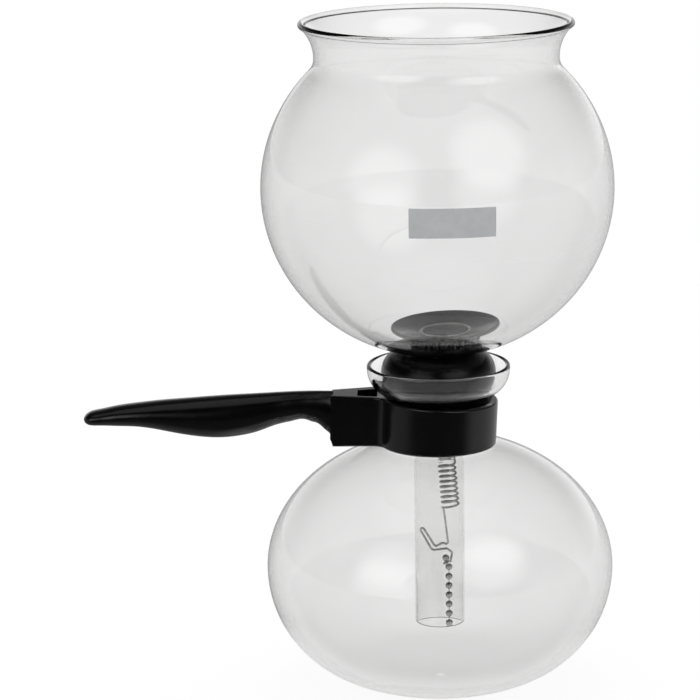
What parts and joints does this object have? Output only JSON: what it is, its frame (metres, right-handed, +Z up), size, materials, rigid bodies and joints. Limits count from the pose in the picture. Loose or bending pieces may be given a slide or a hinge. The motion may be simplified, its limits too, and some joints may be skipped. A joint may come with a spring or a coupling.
{
  "type": "siphon coffee maker",
  "caption": "Stovetop vacuum coffee maker: glass carafe with a clamped black handle, glass funnel globe with stem and rubber gasket, and a loose filter disc on a spring, hook and bead chain.",
  "frame": {"origin": "centre of the flat foot of the carafe, on the surface that it stands on", "axes": "+Z up along the axis of both glasses, -X along the handle, +Y to the clamp screw's side"},
  "size_m": [0.2393, 0.1572, 0.305],
  "materials": {
    "clear_glass": "clear polished borosilicate",
    "black_plastic": "glossy moulded",
    "black_rubber": "satin moulded",
    "filter_plastic": "satin moulded",
    "spring_steel": "bright drawn wire",
    "chain_steel": "bright plated",
    "screw_steel": "bright zinc"
  },
  "bodies": {
    "carafe": {"carafe_glass": "clear_glass", "handle": "black_plastic", "collar_strap": "black_plastic", "clamp_screw": "screw_steel", "clamp_nut": "screw_steel"},
    "gasket": {"gasket": "black_rubber"},
    "funnel": {"funnel_glass": "clear_glass"},
    "filter": {"filter_disc": "filter_plastic", "filter_spring": "spring_steel"},
    "hook": {"spring_hook": "spring_steel"},
    "chain_top": {"chain_bead_1": "chain_steel", "chain_link_1": "chain_steel", "chain_bead_2": "chain_steel"},
    "chain_tail": {"chain_bead_3": "chain_steel", "chain_bead_4": "chain_steel", "chain_bead_5": "chain_steel", "chain_bead_6": "chain_steel", "chain_bead_7": "chain_steel", "chain_bead_8": "chain_steel", "chain_link_2": "chain_steel", "chain_link_3": "chain_steel", "chain_link_4": "chain_steel", "chain_link_5": "chain_steel", "chain_link_6": "chain_steel", "chain_link_7": "chain_steel"}
  },
  "joints": [
    {"name": "gasket_lift", "type": "slide", "parent": "carafe", "child": "gasket", "axis": [0, 0, 1], "range_m": [0, 0.14]},
    {"name": "funnel_pull", "type": "slide", "parent": "gasket", "child": "funnel", "axis": [0, 0, 1], "range_m": [0, 0.14]},
    {"name": "filter_lift", "type": "slide", "parent": "funnel", "child": "filter", "axis": [0, 0, 1], "range_m": [0, 0.29]},
    {"name": "hook_pull", "type": "slide", "parent": "filter", "child": "hook", "axis": [0, 0, -1], "range_m": [0, 0.022], "stiffness_N_per_m": 100, "deforming": ["filter_spring"]},
    {"name": "chain_swing", "type": "hinge", "parent": "hook", "child": "chain_top", "pos_m": [0.00339, 0, 0.05751], "axis": [0, 1, 0], "range_deg": [-6, 8]},
    {"name": "chain_sway", "type": "hinge", "parent": "chain_top", "child": "chain_tail", "pos_m": [0.00408, 0, 0.0554], "axis": [1, 0, 0], "range_deg": [-6, 6]}
  ]
}
